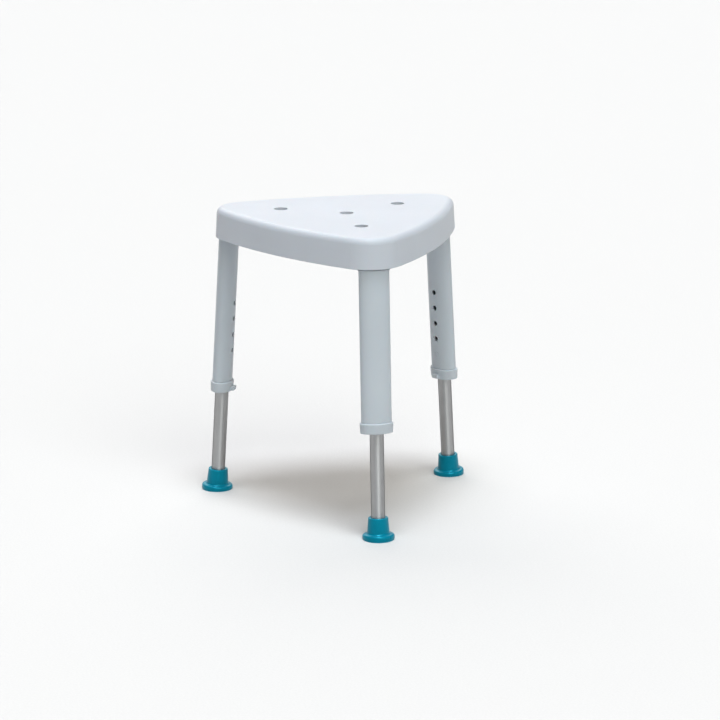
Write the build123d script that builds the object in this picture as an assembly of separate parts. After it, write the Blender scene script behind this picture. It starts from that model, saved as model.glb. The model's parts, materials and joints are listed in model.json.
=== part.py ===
from build123d import *
import math
import os

# Height-adjustable shower stool with three splayed legs. Millimetres, +Z up, floor at z = 0.
# Everything is laid out about the upright axis of threefold symmetry, and moved at the end
# so that the origin is the middle of the bounding box's base.

# seat shell: a rounded triangle with bowed sides
SEAT_HEIGHT = 542.0
SKIRT_HEIGHT = 56.0
CORNER_CENTRE_R = 190.0
CORNER_R = 59.6
SIDE_R = 830.0
SKIRT_DRAFT = 3.4
RIM_R = 12.0
SKIRT_WALL = 3.3
CEILING_Z = 535.8
INNER_RIM_R = 5.0
MOUTH_R = 1.2

# dish: a shallow hollow in the top, part of a large ball, this deep below the corners
DISH_DEPTH = 2.1

# drain holes, and the ribs under the seat
DRAIN_R = 12.5
DRAIN_CIRCLE_R = 126.0
DRAIN_COLLAR_R = 15.0
RIB = 2.4
RIB_DEPTH = 4.0
CHORD_RIB_R = 114.0

# leg line: the tube's axis, leaning outwards towards the floor
LEG_FLOOR_R = 258.0
LEG_HIGH_R = 226.0
LEG_HIGH_Z = 504.0
LEG_ANGLES = {"front": -90.0, "right": 30.0, "left": 150.0}

# outer leg: an oval tube. Names in "_S" are distances along the leg line from the floor
OUTER_A = 27.5
OUTER_B = 17.0
OUTER_WALL = 3.0
OUTER_BOTTOM_S = 196.6
OUTER_TOP_S = 528.0
OUTER_END_ROUND = 0.7
BEAD_S = 482.4
BEAD_HEIGHT = 2.2
BEAD_OUT = 1.6
BEAD_ROUND = 0.9
HOLE_R = 4.75
HOLE_PITCH = 30.0
HOLE_COUNT = 5
BUTTON_S = 240.0

# socket: holds the outer leg's upper end
SOCKET_GAP = 0.2
SOCKET_WALL = 3.0
SOCKET_BOTTOM_S = 495.0
SOCKET_ROOT_S = 541.0
SOCKET_WEB_OUT = 26.0
SOCKET_WEB_WIDTH = 48.0
POCKET_TOP_S = 529.5

# collar: caps the outer leg's lower end and guides the tube
COLLAR_BOTTOM_S = 192.4
COLLAR_TOP_S = 211.2
COLLAR_A = 30.4
COLLAR_B = 20.3
COLLAR_TAPER = 1.0
COLLAR_FLOOR = 4.0
COLLAR_TOP_ROUND = 2.2
COLLAR_BOTTOM_ROUND = 0.9
BUSH_TOP_S = 218.0
BUSH_GAP = 0.2
BUSH_ROUND = 0.8
BUSH_CORE_FLOOR = 2.0
TAB_OUT = 5.6
TAB_ROOT = 4.0
TAB_WIDTH = 14.0
TAB_HEIGHT = 8.0
TAB_ROUND = 1.8
TAB_S = 198.3

# inner tube, and the oval guide on its upper end
TUBE_R = 12.5
TUBE_WALL = 1.5
TUBE_BOTTOM_S = 9.7
TUBE_TOP_S = 264.8
TUBE_CHAMFER = 0.3
RUNNING_GAP = 0.08
GUIDE_GAP = 0.3
GUIDE_BOTTOM_S = 223.0
GUIDE_TOP_S = 267.0
GUIDE_ROUND = 0.8
GUIDE_CORE_R = 3.2
GUIDE_CORE_Y = 18.2

# snap button and its leaf spring
BUTTON_R = 4.45
BUTTON_TIP = 17.2
BUTTON_DOME = 0.7
BUTTON_FLANGE_R = 5.2
BUTTON_FLANGE = 0.8
RIVET_R = 1.4
RIVET_HEAD_R = 2.4
RIVET_HEAD = 0.8
RIVET_ROUND = 0.4
LEAF = 0.6
LEAF_WIDTH = 7.0
LEAF_FRONT_X = -8.5
LEAF_BACK_X = 9.8
LEAF_ABOVE = 6.0
LEAF_BELOW = 7.0
LEAF_BEND_S = 201.0
LEAF_BEND_R = 2.0
TAIL_BELOW = 2.0
TAIL_ABOVE = 4.0
TAIL_TURN = 0.6

# leg screws
SCREW_S = 507.0
SCREW_R = 2.4
SCREW_LENGTH = 12.0
SCREW_POINT = 0.5
SCREW_HEAD_R = 4.6
SCREW_HEAD = 2.7
SCREW_HEAD_ROUND = 1.2
SCREW_HEX_R = 1.75
SCREW_HEX_DEPTH = 1.9
FASTENER_GAP = 0.1

# ferrule: rubber foot
FERRULE_TOP_S = 39.0
FERRULE_TOP_R = 17.9
FERRULE_FOOT_R = 20.2
FERRULE_RIM_ROUND = 1.4
FERRULE_LEAD_IN = 0.9
FERRULE_BORE_S = 7.6
FLANGE_R = 28.7
FLANGE_S = 9.4
FLANGE_ROUND = 3.8
FLANGE_EDGE_S = 2.4
FLANGE_DROP = 2.4
FLANGE_UNDERCUT = 0.8
SOLE_GROOVE = 1.2
SOLE_RINGS = [(9.5, 11.5), (17.0, 19.0)]
WASHER_R = 12.3
WASHER_S = 2.0
WASHER_CHAMFER = 0.2

# how far shapes that cut or join run past the faces they meet
OVERRUN = 1.0

LEAN = math.degrees(math.atan2(LEG_FLOOR_R - LEG_HIGH_R, LEG_HIGH_Z))
SKIRT_LOW = SEAT_HEIGHT - SKIRT_HEIGHT
CORNER_ACROSS = CORNER_CENTRE_R * math.sin(math.radians(60))
CORNER_ALONG = CORNER_CENTRE_R * math.cos(math.radians(60))
SIDE_MIDDLE_R = SIDE_R + CORNER_ALONG - math.sqrt((SIDE_R - CORNER_R) ** 2 - CORNER_ACROSS**2)
DISH_R = ((CORNER_CENTRE_R + CORNER_R) ** 2 + DISH_DEPTH**2) / (2 * DISH_DEPTH)
SKIN_MIDDLE_Z = (CEILING_Z + SEAT_HEIGHT - DISH_DEPTH) / 2
STAND = (Align.CENTER, Align.CENTER, Align.MIN)
STAND_MIN_X = (Align.MIN, Align.CENTER, Align.MIN)


def polar(radius, angle):
    return (radius * math.cos(math.radians(angle)), radius * math.sin(math.radians(angle)))


def leg_frame(angle):
    """Local x points away from the stool's centre and local z runs up the leg line."""
    return Pos(*polar(LEG_FLOOR_R, angle), 0) * Rot(0, 0, angle) * Rot(0, -LEAN, 0)


def outline(inset):
    """The seat's plan: three corner arcs joined tangentially by three bowed sides."""
    side_half = math.degrees(math.asin(CORNER_ACROSS / (SIDE_R - CORNER_R)))
    corner_half = 60 - side_half
    arcs = []
    for leg in LEG_ANGLES.values():
        corner_centre = Vector(*polar(CORNER_CENTRE_R, leg))
        side_centre = Vector(*polar(SIDE_MIDDLE_R - SIDE_R, leg + 60))
        corner_turns = (leg - corner_half, leg, leg + corner_half)
        side_turns = (leg + 60 - side_half, leg + 60, leg + 60 + side_half)
        corner = [corner_centre + Vector(*polar(CORNER_R - inset, turn)) for turn in corner_turns]
        side = [side_centre + Vector(*polar(SIDE_R - inset, turn)) for turn in side_turns]
        arcs.append(ThreePointArc(*corner))
        arcs.append(ThreePointArc(*side))
    return make_face(arcs)


def oval(radial, tangential, low, high):
    return Pos(0, 0, low) * extrude(Ellipse(radial, tangential), high - low)


def rod(radius, low, high):
    return Pos(0, 0, low) * Cylinder(radius, high - low, align=STAND)


def inward_rod(radius, near, far, at_s):
    """A round bar along local -x, from distance near to distance far off the leg line."""
    return Pos(0, 0, at_s) * Rot(0, -90, 0) * rod(radius, near, far)


def draft_block(inset, high):
    """The seat's plan drawn up from the skirt's lower edge, leaning inwards by the draft."""
    return Pos(0, 0, SKIRT_LOW) * extrude(outline(inset), high - SKIRT_LOW, taper=SKIRT_DRAFT)


def lowest(shape):
    return shape.faces().sort_by(Axis.Z)[0]


def highest(shape):
    return shape.faces().sort_by(Axis.Z)[-1]


def seat_block(inset, high, rim_r):
    """A drafted block of the seat's plan with a rounded upper edge."""
    block = draft_block(inset, high)
    return fillet(highest(block).edges(), rim_r)


def seat_shell():
    """The moulded skin, open below: dished on top, then rounded all along its rim."""
    ball = Pos(0, 0, SEAT_HEIGHT - DISH_DEPTH + DISH_R) * Rot(90, 0, 0) * Sphere(DISH_R)
    envelope = draft_block(0, SEAT_HEIGHT + OVERRUN) - ball
    envelope = fillet(envelope.faces().filter_by(GeomType.SPHERE).edges(), RIM_R)
    shell = envelope - seat_block(SKIRT_WALL, CEILING_Z, INNER_RIM_R)
    return fillet(lowest(shell).outer_wire().edges(), MOUTH_R)


def rib(x_low, x_high, y_middle):
    """An upright strip under the seat, along x."""
    strip = Box(x_high - x_low, RIB, RIB_DEPTH + OVERRUN, align=STAND_MIN_X)
    return Pos(x_low, y_middle, CEILING_Z - RIB_DEPTH) * strip


def seat_ribs():
    """A pair of ribs to each socket, one to the middle of each side, and a triangle that joins them."""
    chord_half = CHORD_RIB_R * math.tan(math.radians(60))
    ribs = []
    for leg in LEG_ANGLES.values():
        for side in (-DRAIN_COLLAR_R, DRAIN_COLLAR_R):
            ribs.append(Rot(0, 0, leg) * rib(0, LEG_HIGH_R, side))
        ribs.append(Rot(0, 0, leg + 60) * rib(0, SIDE_MIDDLE_R, 0))
        across = Pos(CHORD_RIB_R, 0, 0) * Rot(0, 0, 90) * rib(-chord_half, chord_half, 0)
        ribs.append(Rot(0, 0, leg + 60) * across)
    return ribs


def drain_places():
    return [Pos(0, 0, 0)] + [Pos(*polar(DRAIN_CIRCLE_R, leg), 0) for leg in LEG_ANGLES.values()]


def leg_socket():
    """The solid around one leg's upper end, tied to the skirt by a web."""
    wall = SOCKET_GAP + SOCKET_WALL
    root = oval(OUTER_B + wall, OUTER_A + wall, SOCKET_BOTTOM_S, SOCKET_ROOT_S)
    web = Box(SOCKET_WEB_OUT, SOCKET_WEB_WIDTH, SOCKET_ROOT_S - SOCKET_BOTTOM_S, align=STAND_MIN_X)
    return root + Pos(0, 0, SOCKET_BOTTOM_S) * web


def leg_pocket():
    """The hollow in a socket that the outer leg fills, with the hole for its screw."""
    pocket = oval(OUTER_B + SOCKET_GAP, OUTER_A + SOCKET_GAP, SKIRT_LOW, POCKET_TOP_S)
    reach = OUTER_B + SOCKET_GAP + SOCKET_WALL + OVERRUN
    return pocket + inward_rod(SCREW_R + FASTENER_GAP, 0, reach, SCREW_S)


def make_seat():
    drains = drain_places()
    frames = [leg_frame(leg) for leg in LEG_ANGLES.values()]
    inside = seat_ribs()
    inside += [place * rod(DRAIN_COLLAR_R, CEILING_Z - RIB_DEPTH, CEILING_Z + OVERRUN) for place in drains]
    inside += [frame * leg_socket() for frame in frames]
    inside = (Part() + inside) & seat_block(SKIRT_WALL / 2, SKIN_MIDDLE_Z, (RIM_R + INNER_RIM_R) / 2)
    cuts = [place * rod(DRAIN_R, SKIRT_LOW, SEAT_HEIGHT + OVERRUN) for place in drains]
    cuts += [frame * leg_pocket() for frame in frames]
    return seat_shell() + inside - cuts


def make_outer_leg():
    """Oval tube with a row of adjustment holes facing the stool's centre."""
    shell = oval(OUTER_B, OUTER_A, OUTER_BOTTOM_S, OUTER_TOP_S)
    bead = oval(OUTER_B + BEAD_OUT, OUTER_A + BEAD_OUT, BEAD_S, BEAD_S + BEAD_HEIGHT)
    shell = shell + fillet(bead.edges(), BEAD_ROUND)
    shell = shell - oval(OUTER_B - OUTER_WALL, OUTER_A - OUTER_WALL, OUTER_BOTTOM_S, OUTER_TOP_S)
    shell = fillet(lowest(shell).edges() + highest(shell).edges(), OUTER_END_ROUND)
    for step in range(HOLE_COUNT):
        shell = shell - inward_rod(HOLE_R, 0, OUTER_B + OVERRUN, BUTTON_S + step * HOLE_PITCH)
    return shell - inward_rod(SCREW_R + FASTENER_GAP, 0, OUTER_B + OVERRUN, SCREW_S)


def make_collar():
    """Cap on the outer leg's lower end, with the bush that guides the tube and a small grip tab."""
    low = Pos(0, 0, COLLAR_BOTTOM_S) * Ellipse(COLLAR_B - COLLAR_TAPER, COLLAR_A - COLLAR_TAPER)
    high = Pos(0, 0, COLLAR_TOP_S) * Ellipse(COLLAR_B, COLLAR_A)
    cap = loft([low, high])
    cap = fillet(highest(cap).edges(), COLLAR_TOP_ROUND)
    cap = fillet(lowest(cap).edges(), COLLAR_BOTTOM_ROUND)
    tab = Box(TAB_OUT + TAB_ROOT, TAB_WIDTH, TAB_HEIGHT, align=(Align.MAX, Align.CENTER, Align.CENTER))
    tab = fillet(tab.faces().sort_by(Axis.X)[0].edges(), TAB_ROUND)
    cap = cap + Pos(TAB_ROOT - COLLAR_B, 0, TAB_S) * tab
    floor_s = COLLAR_BOTTOM_S + COLLAR_FLOOR
    cap = cap - oval(OUTER_B + SOCKET_GAP, OUTER_A + SOCKET_GAP, floor_s, COLLAR_TOP_S + OVERRUN)
    inner_b = OUTER_B - OUTER_WALL - BUSH_GAP
    inner_a = OUTER_A - OUTER_WALL - BUSH_GAP
    bush = oval(inner_b, inner_a, floor_s - OVERRUN, BUSH_TOP_S)
    bush = fillet(highest(bush).edges(), BUSH_ROUND)
    for side in (-GUIDE_CORE_Y, GUIDE_CORE_Y):
        bush = bush - Pos(0, side, 0) * rod(GUIDE_CORE_R, floor_s + BUSH_CORE_FLOOR, BUSH_TOP_S + OVERRUN)
    return cap + bush - rod(TUBE_R + RUNNING_GAP, COLLAR_BOTTOM_S - OVERRUN, BUSH_TOP_S + OVERRUN)


def make_tube():
    tube = rod(TUBE_R, TUBE_BOTTOM_S, TUBE_TOP_S) - rod(TUBE_R - TUBE_WALL, TUBE_BOTTOM_S, TUBE_TOP_S)
    tube = chamfer(lowest(tube).edges() + highest(tube).edges(), TUBE_CHAMFER)
    return tube - inward_rod(HOLE_R, 0, TUBE_R + OVERRUN, BUTTON_S)


def make_guide():
    """Oval plug on the tube's upper end that fills the outer leg's bore."""
    across = OUTER_B - OUTER_WALL - GUIDE_GAP
    along = OUTER_A - OUTER_WALL - GUIDE_GAP
    plug = fillet(oval(across, along, GUIDE_BOTTOM_S, GUIDE_TOP_S).edges(), GUIDE_ROUND)
    plug = plug - rod(TUBE_R, GUIDE_BOTTOM_S - OVERRUN, TUBE_TOP_S)
    for side in (-GUIDE_CORE_Y, GUIDE_CORE_Y):
        plug = plug - Pos(0, side, 0) * rod(GUIDE_CORE_R, GUIDE_BOTTOM_S - OVERRUN, TUBE_TOP_S)
    return plug - inward_rod(HOLE_R, 0, OUTER_B, BUTTON_S)


def make_button():
    """Domed pin with a flange that stops it inside the tube, riveted through the leaf spring."""
    leaf_outside = -LEAF_FRONT_X + LEAF / 2
    leaf_inside = -LEAF_FRONT_X - LEAF / 2
    flange = inward_rod(BUTTON_FLANGE_R, leaf_outside, leaf_outside + BUTTON_FLANGE, 0)
    tip = inward_rod(BUTTON_R, leaf_outside + BUTTON_FLANGE / 2, BUTTON_TIP, 0)
    tip = fillet(tip.faces().sort_by(Axis.X)[0].edges(), BUTTON_DOME)
    rivet = inward_rod(RIVET_R, leaf_inside - RIVET_HEAD / 2, leaf_outside + BUTTON_FLANGE / 2, 0)
    head = inward_rod(RIVET_HEAD_R, leaf_inside - RIVET_HEAD, leaf_inside, 0)
    head = fillet(head.faces().sort_by(Axis.X)[-1].edges(), RIVET_ROUND)
    return Pos(0, 0, BUTTON_S) * (tip + flange + rivet + head)


def make_leaf():
    """V-shaped leaf spring: the front leaf carries the button, the back leaf bears on the tube."""
    top = (LEAF_FRONT_X, BUTTON_S + LEAF_ABOVE)
    knee = (LEAF_FRONT_X, BUTTON_S - LEAF_BELOW)
    bend_in = (-LEAF_BEND_R, LEAF_BEND_S)
    bend_middle = (0, LEAF_BEND_S - LEAF_BEND_R)
    bend_out = (LEAF_BEND_R, LEAF_BEND_S)
    heel = (LEAF_BACK_X, BUTTON_S - TAIL_BELOW)
    tail = (LEAF_BACK_X - TAIL_TURN, BUTTON_S + TAIL_ABOVE)
    bend = ThreePointArc(bend_in, bend_middle, bend_out)
    path = [Line(top, knee), Line(knee, bend_in), bend, Line(bend_out, heel), Line(heel, tail)]
    strip = trace(Wire(path), LEAF)
    leaf = extrude(Plane.XZ * strip, LEAF_WIDTH / 2, both=True)
    return leaf - inward_rod(RIVET_R + FASTENER_GAP, 0, TUBE_R, BUTTON_S)


def make_ferrule():
    """Rubber foot on the tube's end, before it is cut level with the floor."""
    with BuildPart() as foot:
        with BuildSketch(Plane.XZ):
            with BuildLine():
                Polyline(
                    (0, -FLANGE_DROP),
                    (FLANGE_R - FLANGE_UNDERCUT, -FLANGE_DROP),
                    (FLANGE_R, FLANGE_EDGE_S),
                    (FLANGE_R, FLANGE_S),
                    (FERRULE_FOOT_R, FLANGE_S),
                    (FERRULE_TOP_R, FERRULE_TOP_S),
                    (0, FERRULE_TOP_S),
                    close=True,
                )
            make_face()
        revolve(axis=Axis.Z)
        fillet(foot.edges().group_by(Axis.Z)[-1], FERRULE_RIM_ROUND)
        fillet(foot.edges().filter_by(GeomType.CIRCLE).group_by(Axis.Z)[2], FLANGE_ROUND)
    bore = rod(TUBE_R, FERRULE_BORE_S, FERRULE_TOP_S + OVERRUN)
    lead_in = Cone(TUBE_R, TUBE_R + FERRULE_LEAD_IN, FERRULE_LEAD_IN, align=STAND)
    return foot.part - bore - Pos(0, 0, FERRULE_TOP_S - FERRULE_LEAD_IN) * lead_in


def make_washer():
    return chamfer(rod(WASHER_R, FERRULE_BORE_S, FERRULE_BORE_S + WASHER_S).edges(), WASHER_CHAMFER)


def level_foot(foot, angle):
    """Trim a placed foot at the floor and cut its drainage grooves."""
    centre = Pos(*polar(LEG_FLOOR_R, angle), 0)
    below = centre * rod(2 * FLANGE_R, -2 * FLANGE_R, 0)
    grooves = [rod(outer, 0, SOLE_GROOVE) - rod(inner, 0, SOLE_GROOVE) for inner, outer in SOLE_RINGS]
    return foot - below - [centre * groove for groove in grooves]


def make_screw():
    """Pan-head screw driven outwards through the socket's wall into the outer leg."""
    head_x = OUTER_B + SOCKET_GAP + SOCKET_WALL + FASTENER_GAP
    shank = inward_rod(SCREW_R, head_x - SCREW_LENGTH, head_x + SCREW_HEAD / 2, SCREW_S)
    shank = chamfer(shank.faces().sort_by(Axis.X)[-1].edges(), SCREW_POINT)
    head = inward_rod(SCREW_HEAD_R, head_x, head_x + SCREW_HEAD, SCREW_S)
    head = fillet(head.faces().sort_by(Axis.X)[0].edges(), SCREW_HEAD_ROUND)
    key = extrude(RegularPolygon(SCREW_HEX_R, 6), SCREW_HEX_DEPTH + OVERRUN)
    key_x = head_x + SCREW_HEAD - SCREW_HEX_DEPTH
    return shank + head - Pos(-key_x, 0, SCREW_S) * Rot(0, -90, 0) * key


leg_parts = {
    "outer_leg": make_outer_leg(),
    "collar": make_collar(),
    "inner_tube": make_tube(),
    "tube_guide": make_guide(),
    "snap_button": make_button(),
    "button_spring": make_leaf(),
    "ferrule": make_ferrule(),
    "ferrule_washer": make_washer(),
}
nodes = {"seat": make_seat()}
for side, angle in LEG_ANGLES.items():
    for name, shape in leg_parts.items():
        placed = leg_frame(angle) * shape
        if name == "ferrule":
            placed = level_foot(placed, angle)
        nodes[f"{name}_{side}"] = placed
screw = make_screw()
nodes["leg_screws"] = Compound([leg_frame(angle) * screw for angle in LEG_ANGLES.values()])

rear_y = nodes["seat"].bounding_box().max.Y
front_y = nodes["ferrule_front"].bounding_box().min.Y
to_origin = Pos(0, -(rear_y + front_y) / 2, 0)
os.makedirs("parts", exist_ok=True)
for name, shape in nodes.items():
    export_step(to_origin * shape, f"parts/{name}.step")
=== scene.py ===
import json
import math

import bpy
from mathutils import Matrix, Vector


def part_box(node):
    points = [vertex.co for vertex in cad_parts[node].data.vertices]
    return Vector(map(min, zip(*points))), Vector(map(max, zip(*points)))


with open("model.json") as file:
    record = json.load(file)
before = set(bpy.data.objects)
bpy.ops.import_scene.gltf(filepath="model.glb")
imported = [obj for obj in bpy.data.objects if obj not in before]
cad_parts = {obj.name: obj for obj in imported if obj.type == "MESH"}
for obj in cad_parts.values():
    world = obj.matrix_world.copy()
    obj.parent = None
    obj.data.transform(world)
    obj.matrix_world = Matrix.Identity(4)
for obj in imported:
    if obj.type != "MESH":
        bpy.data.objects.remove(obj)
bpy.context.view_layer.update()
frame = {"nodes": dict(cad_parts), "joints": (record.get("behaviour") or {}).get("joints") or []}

LEG_SIDES = ("front", "right", "left")

# linear colours, in pairs that a material drifts between
SEAT_WHITE = (0.522, 0.550, 0.590, 1)
SEAT_SHADE = (0.508, 0.536, 0.576, 1)
LEG_PALE = (0.500, 0.540, 0.575, 1)
LEG_SHADE = (0.484, 0.524, 0.559, 1)
TEAL = (0.001, 0.220, 0.312, 1)
TEAL_SHADE = (0.00086, 0.1892, 0.26832, 1)
ALUMINIUM_DARK = (0.485, 0.488, 0.490, 1)
ALUMINIUM_PALE = (0.540, 0.543, 0.546, 1)
STEEL_DARK = (0.50, 0.50, 0.49, 1)
STEEL_PALE = (0.64, 0.63, 0.61, 1)
PAPER_DARK = (0.600, 0.597, 0.592, 1)
PAPER_PALE = (0.626, 0.622, 0.617, 1)

# the pale bloom on knocked rubber, made strong enough to be also a painted highlight on the ferrules'
# edges, the tints of two finishes' highlights, and the studio
TEAL_BLOOM_AND_HIGHLIGHT = (0.05, 0.42, 0.56, 1)
ALUMINIUM_TINT = (0.2, 0.2, 0.2, 1)
RUBBER_TINT = (0.12, 0.8, 1.0, 1)
BACKDROP = (0.96, 0.96, 0.96, 1)
CEILING = (0.14, 0.14, 0.14, 1)

# most of a noise's values lie between these
NOISE_LOW = 0.3
NOISE_HIGH = 0.7

NO_TURN = (0.0, 0.0, 0.0)
NO_STRETCH = (1.0, 1.0, 1.0)


# ---------------------------------------------------------------- camera

def joint_axis(name):
    return Vector(next(joint["axis"] for joint in frame["joints"] if joint["name"] == name))


def stool_axis():
    """Where the stool's upright axis of symmetry stands: the middle of its three feet."""
    feet = [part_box(f"ferrule_{side}") for side in LEG_SIDES]
    return sum(((low + high) / 2 for low, high in feet), Vector()) / 3


def make_camera():
    """A long lens that looks slightly down on the stool, from the left of its front leg."""
    azimuth = math.radians(-12.21)
    elevation = math.radians(13.82)
    roll = math.radians(-0.26)
    distance = 5.987
    side_step = 0.0231
    look_height = 0.2651

    across = Vector((math.cos(azimuth), math.sin(azimuth), 0))
    back = Vector((
        math.sin(azimuth) * math.cos(elevation),
        -math.cos(azimuth) * math.cos(elevation),
        math.sin(elevation),
    ))
    target = stool_axis() + across * side_step
    target.z = look_height

    data = bpy.data.cameras.new("camera")
    data.lens = 163.3
    data.sensor_width = 36.0
    data.clip_start = 0.1
    data.clip_end = 60.0
    camera = bpy.data.objects.new("camera", data)
    bpy.context.scene.collection.objects.link(camera)
    turn = (-back).to_track_quat("-Z", "Y").to_matrix() @ Matrix.Rotation(roll, 3, "Z")
    camera.matrix_world = Matrix.Translation(target + back * distance) @ turn.to_4x4()
    bpy.context.scene.camera = camera


# ---------------------------------------------------------------- node helpers

class Nodes:
    """Short names for building a node tree."""

    def __init__(self, material):
        material.use_nodes = True
        self.tree = material.node_tree
        self.shader = self.tree.nodes["Principled BSDF"]

    def add(self, kind, **settings):
        node = self.tree.nodes.new(kind)
        for name, value in settings.items():
            setattr(node, name, value)
        return node

    def link(self, source, target):
        self.tree.links.new(source, target)

    def drive(self, source, name):
        """Links a value to the shader's socket of that name."""
        self.link(source, self.shader.inputs[name])

    def set(self, node, **values):
        """Sets sockets by name, with an underscore for each space."""
        for name, value in values.items():
            node.inputs[name.replace("_", " ")].default_value = value

    def place(self, turn=NO_TURN, stretch=NO_STRETCH):
        """Object coordinates in metres, turned and then scaled for a grain's direction."""
        coordinates = self.add("ShaderNodeTexCoord")
        rotate = self.add("ShaderNodeMapping", vector_type="POINT")
        self.set(rotate, Rotation=turn)
        self.link(coordinates.outputs["Object"], rotate.inputs["Vector"])
        scale = self.add("ShaderNodeMapping", vector_type="POINT")
        self.set(scale, Scale=stretch)
        self.link(rotate.outputs["Vector"], scale.inputs["Vector"])
        return scale.outputs["Vector"]

    def noise(self, where, scale=1.0, detail=2.0, rough=0.5):
        """Noise with a scale per metre, or per unit of a stretched place."""
        node = self.add("ShaderNodeTexNoise")
        self.set(node, Scale=scale, Detail=detail, Roughness=rough)
        self.link(where, node.inputs["Vector"])
        return node.outputs["Fac"]

    def spread(self, value, low=NOISE_LOW, high=NOISE_HIGH, to_low=0.0, to_high=1.0):
        """Maps low..high, by default a noise's range, to to_low..to_high and holds the ends."""
        node = self.add("ShaderNodeMapRange", clamp=True)
        self.set(node, From_Min=low, From_Max=high, To_Min=to_low, To_Max=to_high)
        self.link(value, node.inputs["Value"])
        return node.outputs["Result"]

    def maths(self, operation, first, second):
        node = self.add("ShaderNodeMath", operation=operation)
        for socket, value in zip(node.inputs, (first, second)):
            if isinstance(value, (int, float)):
                socket.default_value = value
            else:
                self.link(value, socket)
        return node.outputs["Value"]

    def plus(self, first, second):
        return self.maths("ADD", first, second)

    def times(self, first, second):
        return self.maths("MULTIPLY", first, second)

    def mix(self, factor, first, second):
        """A colour that goes from first to second as the factor goes from 0 to 1."""
        node = self.add("ShaderNodeMix", data_type="RGBA")
        sockets = [socket for socket in node.inputs if socket.type == "RGBA"]
        for socket, value in zip(sockets, (first, second)):
            if isinstance(value, tuple):
                socket.default_value = value
            else:
                self.link(value, socket)
        self.link(factor, node.inputs["Factor"])
        return next(socket for socket in node.outputs if socket.type == "RGBA")

    def bump(self, height, distance, strength, below=None):
        """A bump up to distance metres high, added to the one below if there is one."""
        node = self.add("ShaderNodeBump")
        self.set(node, Strength=strength, Distance=distance)
        self.link(height, node.inputs["Height"])
        if below is not None:
            self.link(below, node.inputs["Normal"])
        return node.outputs["Normal"]

    def edges(self, radius, sharp, flat):
        """1 on edges and 0 on open faces, from how well a rounded normal agrees with the plain one.

        The agreement is the cosine between the two: at most sharp on an edge, at least flat on a face.
        """
        bevel = self.add("ShaderNodeBevel", samples=6)
        self.set(bevel, Radius=radius)
        plain = self.add("ShaderNodeNewGeometry")
        agreement = self.add("ShaderNodeVectorMath", operation="DOT_PRODUCT")
        self.link(bevel.outputs["Normal"], agreement.inputs[0])
        self.link(plain.outputs["Normal"], agreement.inputs[1])
        return self.spread(agreement.outputs["Value"], low=flat, high=sharp)


def new_material(name):
    material = bpy.data.materials.new(name)
    return material, Nodes(material)


def wear(node, material):
    """Gives a CAD node its finished material."""
    for slot in frame["nodes"][node].material_slots:
        slot.link = "OBJECT"
        slot.material = material


# ---------------------------------------------------------------- materials

def moulded_plastic(name, colour, shade, turn=NO_TURN, scuffs=1.0):
    """Satin polypropylene: spark-eroded grain, slow sink marks, faint handling scuffs."""
    scuff_roughness = 0.07
    pore_depth = 0.6
    material, n = new_material(name)
    where = n.place(turn)
    cloud = n.noise(where, scale=9.0, detail=3.0)
    sink = n.noise(where, scale=14.0, detail=1.0, rough=0.4)
    pores = n.noise(where, scale=420.0, detail=3.0, rough=0.7)
    fine = n.noise(where, scale=1400.0, rough=0.6)
    lengthways = n.noise(n.place(turn, stretch=(60.0, 900.0, 900.0)))
    crossways = n.noise(n.place(turn, stretch=(900.0, 70.0, 900.0)))
    scratch = n.maths("MAXIMUM", lengthways, crossways)
    scratch = n.spread(scratch, low=0.66, high=0.72, to_high=scuffs)

    n.drive(n.mix(n.spread(cloud), colour, shade), "Base Color")
    grained = n.spread(pores, to_low=0.38, to_high=0.46)
    n.drive(n.plus(grained, n.times(scratch, scuff_roughness)), "Roughness")
    slow = n.bump(sink, distance=0.0012, strength=0.10)
    grain = n.plus(fine, n.times(pores, pore_depth))
    n.drive(n.bump(grain, distance=0.00006, strength=0.5, below=slow), "Normal")
    n.set(n.shader, IOR=1.49, Specular_IOR_Level=0.32)
    n.set(n.shader, Subsurface_Weight=0.06, Subsurface_Scale=0.003)
    return material


def anodised_aluminium(name, turn):
    """Natural anodised tube: faint die lines along it, under a mottled oxide.

    The finish is anisotropic, and stretches a highlight along the tube.
    """
    material, n = new_material(name)
    lines = n.noise(n.place(turn, stretch=(600.0, 600.0, 5.0)))
    broad = n.noise(n.place(turn, stretch=(260.0, 260.0, 2.5)))
    oxide = n.noise(n.place(turn), scale=70.0, detail=3.0)

    tone = n.spread(n.plus(lines, broad), low=0.7, high=1.3)
    n.drive(n.mix(tone, ALUMINIUM_DARK, ALUMINIUM_PALE), "Base Color")
    mottle = n.spread(oxide, to_low=0.38, to_high=0.42)
    streaks = n.spread(lines, low=0.4, to_high=0.03)
    n.drive(n.plus(mottle, streaks), "Roughness")
    n.drive(n.bump(broad, distance=0.00002, strength=0.2), "Normal")
    n.set(n.shader, Metallic=1.0, Specular_Tint=ALUMINIUM_TINT)
    n.set(n.shader, Anisotropic=0.82, Anisotropic_Rotation=0.25)
    return material


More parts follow.
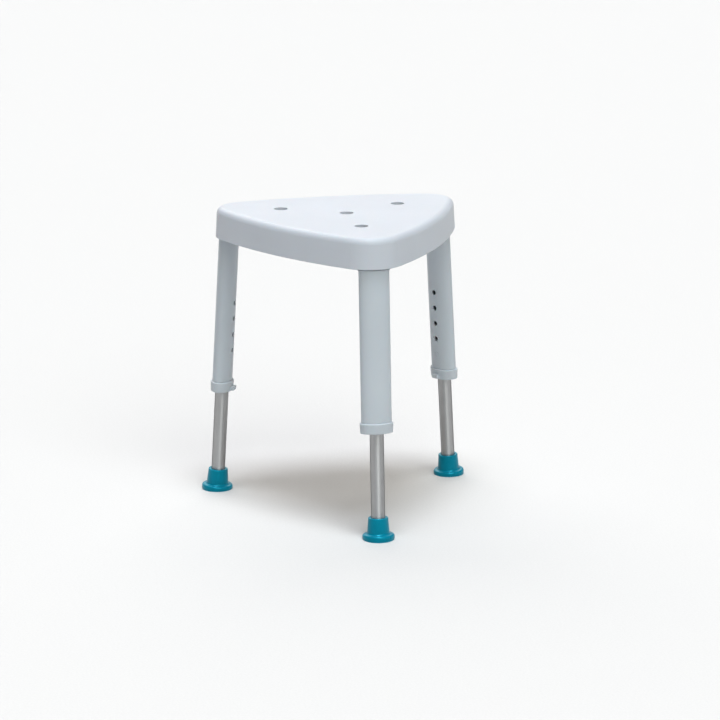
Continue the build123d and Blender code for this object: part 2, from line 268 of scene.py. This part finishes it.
def moulded_rubber(name):
    """Satin teal rubber: fine mould grain, and a pale bloom on the edges that get knocked, made strong
    enough to be also a painted highlight on the flange's rounded edge.
    """
    bloom_and_highlight_cover = 0.6
    material, n = new_material(name)
    where = n.place()
    cloud = n.noise(where, scale=38.0, detail=3.0)
    pits = n.noise(where, scale=240.0, detail=4.0, rough=0.65)
    grain = n.noise(where, scale=1100.0, rough=0.6)

    patches = n.spread(pits, low=0.35, high=0.65, to_low=0.2)
    # pale colour on the edges: partly real bloom on knocked rubber, partly a painted highlight
    bloom_and_highlight_mask = n.times(n.edges(radius=0.003, sharp=0.90, flat=0.99), patches)
    body = n.mix(n.spread(cloud), TEAL, TEAL_SHADE)
    n.drive(n.mix(n.times(bloom_and_highlight_mask, bloom_and_highlight_cover), body, TEAL_BLOOM_AND_HIGHLIGHT), "Base Color")
    n.drive(n.spread(pits, to_low=0.27, to_high=0.33), "Roughness")
    pitted = n.bump(pits, distance=0.00012, strength=0.25)
    n.drive(n.bump(grain, distance=0.00006, strength=0.6, below=pitted), "Normal")
    n.set(n.shader, IOR=1.5, Specular_IOR_Level=0.75, Specular_Tint=RUBBER_TINT)
    return material


def brushed_stainless(name):
    """Steel of the springs, washers and screws, with short upright brush lines."""
    material, n = new_material(name)
    lines = n.noise(n.place(stretch=(900.0, 900.0, 90.0)), detail=3.0, rough=0.6)
    n.drive(n.mix(n.spread(lines), STEEL_DARK, STEEL_PALE), "Base Color")
    n.drive(n.spread(lines, to_low=0.24, to_high=0.38), "Roughness")
    n.drive(n.bump(lines, distance=0.00003, strength=0.5), "Normal")
    n.set(n.shader, Metallic=1.0)
    return material


def fibrous_paper(name):
    """Matt background paper."""
    material, n = new_material(name)
    fibre = n.noise(n.place(), scale=260.0, detail=3.0, rough=0.6)
    n.drive(n.mix(n.spread(fibre), PAPER_DARK, PAPER_PALE), "Base Color")
    n.drive(n.bump(fibre, distance=0.0012, strength=0.25), "Normal")
    n.set(n.shader, Roughness=1.0, Specular_IOR_Level=0.0)
    return material


def leg_turn(side):
    """Euler angles that turn the leg's line upright, for grain that runs along it."""
    axis = joint_axis(f"leg_slide_{side}")
    return tuple(axis.rotation_difference(Vector((0, 0, 1))).to_euler())


def dress_stool():
    """Gives every CAD node its material. The legs are scuffed less than the seat."""
    leg_scuffs = 0.6
    seat_plastic = moulded_plastic("seat_plastic", SEAT_WHITE, SEAT_SHADE)
    rubber = moulded_rubber("ferrule_rubber")
    steel = brushed_stainless("stainless_steel")

    wear("seat", seat_plastic)
    wear("leg_screws", steel)
    for side in LEG_SIDES:
        turn = leg_turn(side)
        leg_plastic = moulded_plastic(f"leg_plastic_{side}", LEG_PALE, LEG_SHADE, turn, leg_scuffs)
        for part in ("outer_leg", "collar", "tube_guide", "snap_button"):
            wear(f"{part}_{side}", leg_plastic)
        wear(f"inner_tube_{side}", anodised_aluminium(f"anodised_tube_{side}", turn))
        wear(f"ferrule_{side}", rubber)
        wear(f"button_spring_{side}", steel)
        wear(f"ferrule_washer_{side}", steel)


# ---------------------------------------------------------------- floor and light

def make_floor():
    """A square of paper so wide that its far edge lies at the horizon."""
    half = 60.0
    corners = [(-half, -half, 0.0), (half, -half, 0.0), (half, half, 0.0), (-half, half, 0.0)]
    mesh = bpy.data.meshes.new("floor")
    mesh.from_pydata(corners, [], [(0, 1, 2, 3)])
    mesh.materials.append(fibrous_paper("floor_paper"))
    floor = bpy.data.objects.new("floor", mesh)
    bpy.context.scene.collection.objects.link(floor)


def make_world():
    """A dim studio with a pale backdrop low all round. The heights are sines of elevation."""
    backdrop_top = 0.11
    ceiling_start = 0.15
    world = bpy.data.worlds.new("studio")
    bpy.context.scene.world = world
    world.use_nodes = True
    tree = world.node_tree
    background = tree.nodes["Background"]
    coordinates = tree.nodes.new("ShaderNodeTexCoord")
    split = tree.nodes.new("ShaderNodeSeparateXYZ")
    ramp = tree.nodes.new("ShaderNodeValToRGB")
    tree.links.new(coordinates.outputs["Generated"], split.inputs["Vector"])
    tree.links.new(split.outputs["Z"], ramp.inputs["Fac"])
    tree.links.new(ramp.outputs["Color"], background.inputs["Color"])
    lower, upper = ramp.color_ramp.elements
    lower.position = backdrop_top
    lower.color = BACKDROP
    upper.position = ceiling_start
    upper.color = CEILING


def add_sun(name, azimuth, elevation, width, strength, colour):
    """A soft sun this many degrees wide. Azimuth 0 is in front of the stool, 90 on the right."""
    data = bpy.data.lights.new(name, "SUN")
    data.angle = math.radians(width)
    data.energy = strength
    data.color = colour
    sun = bpy.data.objects.new(name, data)
    bpy.context.scene.collection.objects.link(sun)
    turned = math.radians(azimuth)
    raised = math.radians(elevation)
    towards = Vector((
        math.sin(turned) * math.cos(raised),
        -math.cos(turned) * math.cos(raised),
        math.sin(raised),
    ))
    sun.rotation_euler = towards.to_track_quat("Z", "Y").to_euler()


def make_lights():
    add_sun("overhead_softbox", 0.0, 80.0, width=22.0, strength=2.12, colour=(0.89, 0.945, 1.0))
    add_sun("overhead_left", -60.0, 80.0, width=24.0, strength=0.62, colour=(0.93, 0.93, 1.0))
    add_sun("back_softbox", 180.0, 46.0, width=60.0, strength=1.62, colour=(1.0, 0.92, 0.86))
    add_sun("front_softbox", 10.0, 42.0, width=44.0, strength=1.36, colour=(0.97, 1.0, 0.95))


def set_view():
    """Shows colours as they are, a little darker in the middle tones."""
    view = bpy.context.scene.view_settings
    view.view_transform = "Standard"
    view.gamma = 0.85


make_camera()
dress_stool()
make_floor()
make_world()
make_lights()
set_view()
